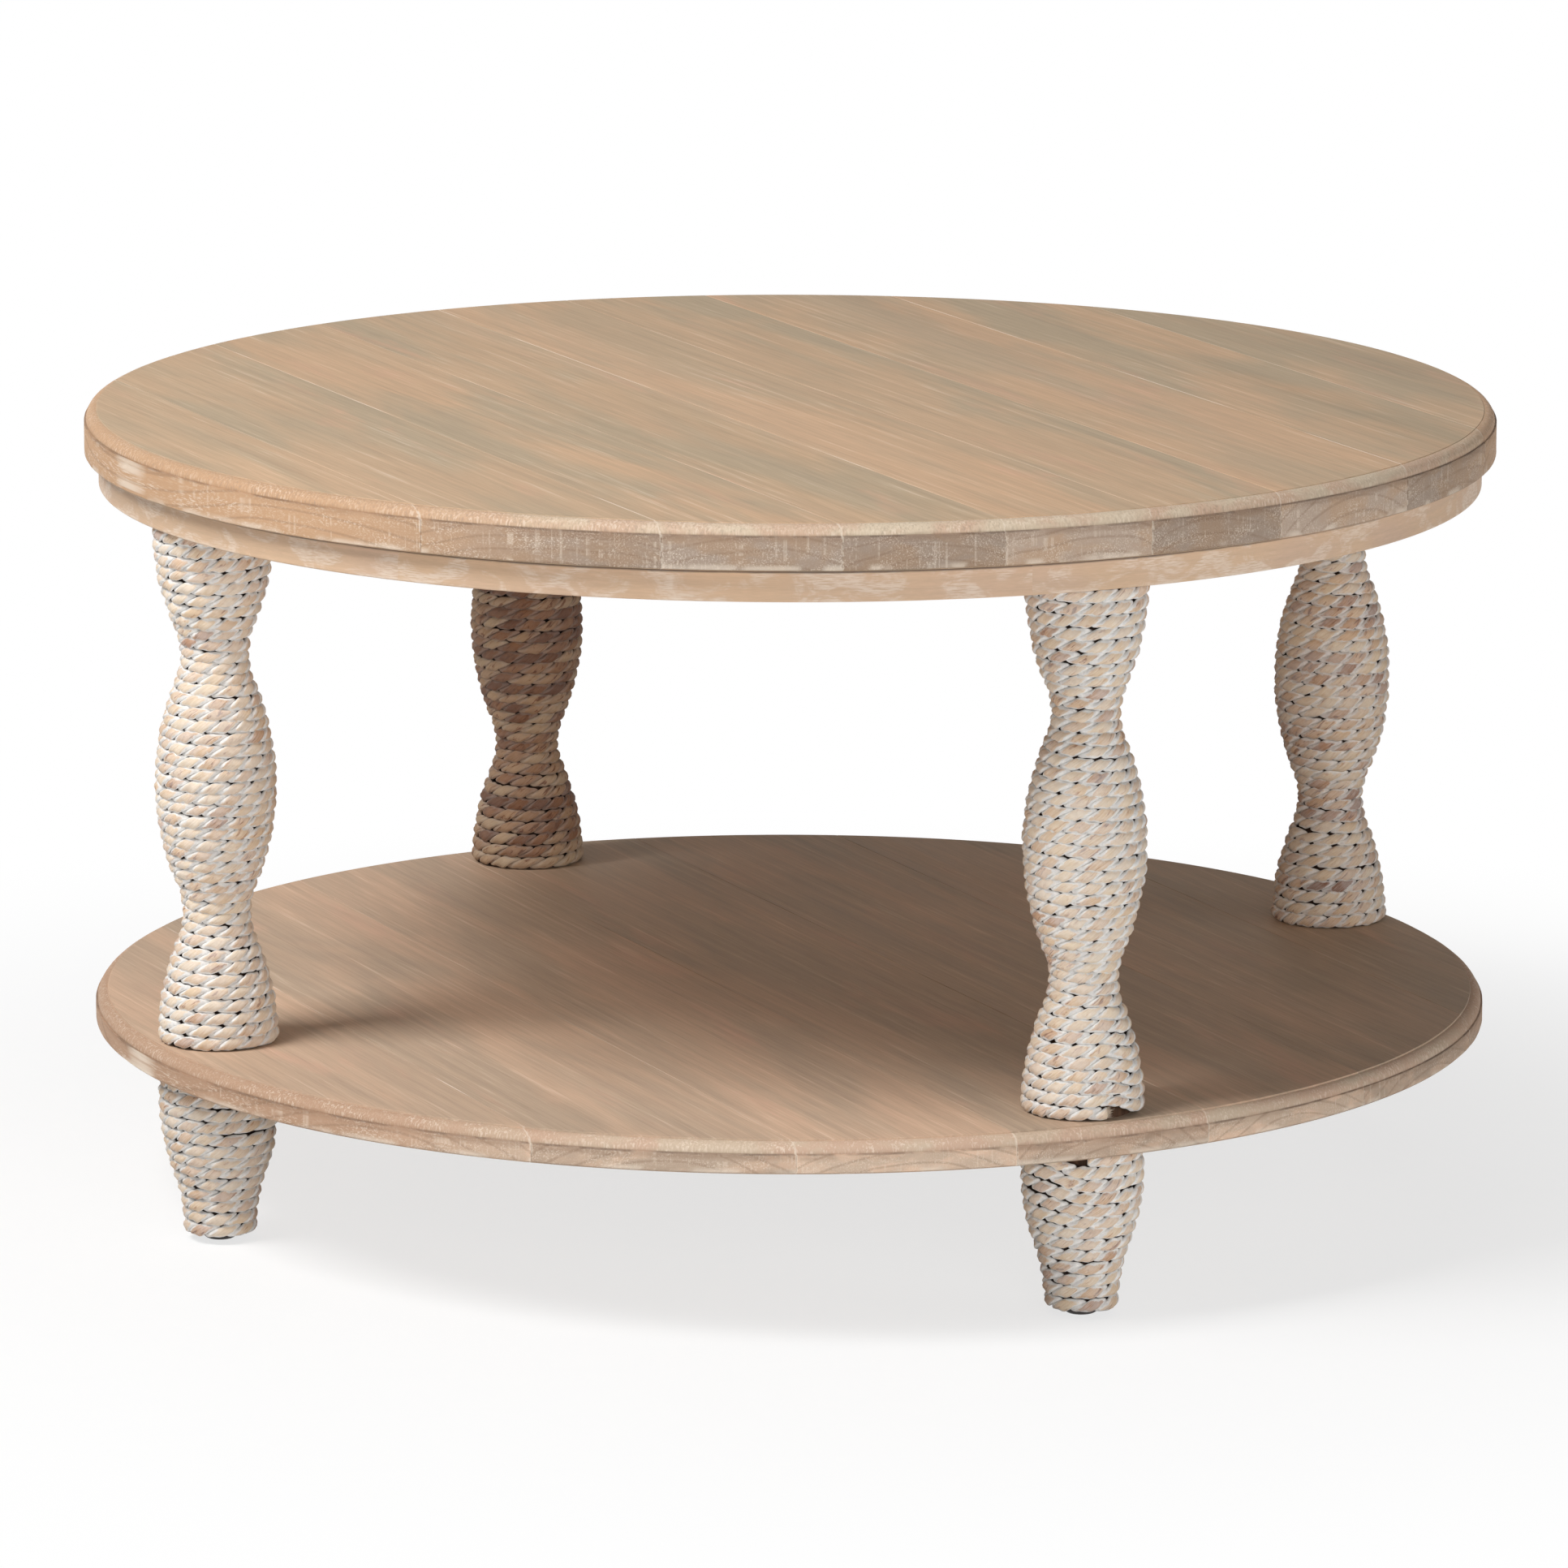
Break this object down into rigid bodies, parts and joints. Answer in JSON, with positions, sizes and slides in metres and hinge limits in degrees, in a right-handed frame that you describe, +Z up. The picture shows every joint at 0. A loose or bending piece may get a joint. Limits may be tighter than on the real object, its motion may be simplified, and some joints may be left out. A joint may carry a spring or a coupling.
{
  "type": "coffee table",
  "caption": "Round coffee table with an edge-glued wooden top and lower shelf, carried on turned legs and feet wrapped in twisted rope.",
  "frame": {"origin": "on the floor, under the centre of the round top", "axes": "+Z up; the legs stand on the diagonals, front_right at +X -Y; the boards' grain runs 47 degrees clockwise from +X, nearly through the front_right and back_left legs"},
  "size_m": [0.8, 0.8, 0.449],
  "materials": {
    "top_wood": "limed hardwood, matt",
    "apron_wood": "limed hardwood, matt, worn paint",
    "shelf_wood": "limed hardwood, matt",
    "turned_wood": "bare turned hardwood",
    "rope": "twisted plant-fibre rope, whitewashed",
    "glide_plastic": "moulded, matt",
    "zinc_steel": "zinc plated",
    "insert_brass": "plain"
  },
  "bodies": {
    "root": {"apron_inserts": "insert_brass", "apron_screws": "zinc_steel", "apron_segment_1": "apron_wood", "apron_segment_2": "apron_wood", "apron_segment_3": "apron_wood", "apron_segment_4": "apron_wood", "apron_segment_5": "apron_wood", "apron_segment_6": "apron_wood", "apron_segment_7": "apron_wood", "foot_core_back_left": "turned_wood", "foot_core_back_right": "turned_wood", "foot_core_front_left": "turned_wood", "foot_core_front_right": "turned_wood", "foot_glide_back_left": "glide_plastic", "foot_glide_back_right": "glide_plastic", "foot_glide_front_left": "glide_plastic", "foot_glide_front_right": "glide_plastic", "foot_rope_back_left": "rope", "foot_rope_back_right": "rope", "foot_rope_front_left": "rope", "foot_rope_front_right": "rope", "glide_nails": "zinc_steel", "leg_core_back_left": "turned_wood", "leg_core_back_right": "turned_wood", "leg_core_front_left": "turned_wood", "leg_core_front_right": "turned_wood", "leg_inserts": "insert_brass", "leg_rope_back_left": "rope", "leg_rope_back_right": "rope", "leg_rope_front_left": "rope", "leg_rope_front_right": "rope", "shelf_board_1": "shelf_wood", "shelf_board_2": "shelf_wood", "shelf_board_3": "shelf_wood", "shelf_board_4": "shelf_wood", "shelf_board_5": "shelf_wood", "shelf_board_6": "shelf_wood", "shelf_board_7": "shelf_wood", "shelf_hanger_bolts": "zinc_steel", "top_board_1": "top_wood", "top_board_2": "top_wood", "top_board_3": "top_wood", "top_board_4": "top_wood", "top_board_5": "top_wood", "top_board_6": "top_wood", "top_board_7": "top_wood", "top_board_8": "top_wood", "top_board_9": "top_wood", "top_hanger_bolts": "zinc_steel"}
  },
  "joints": []
}
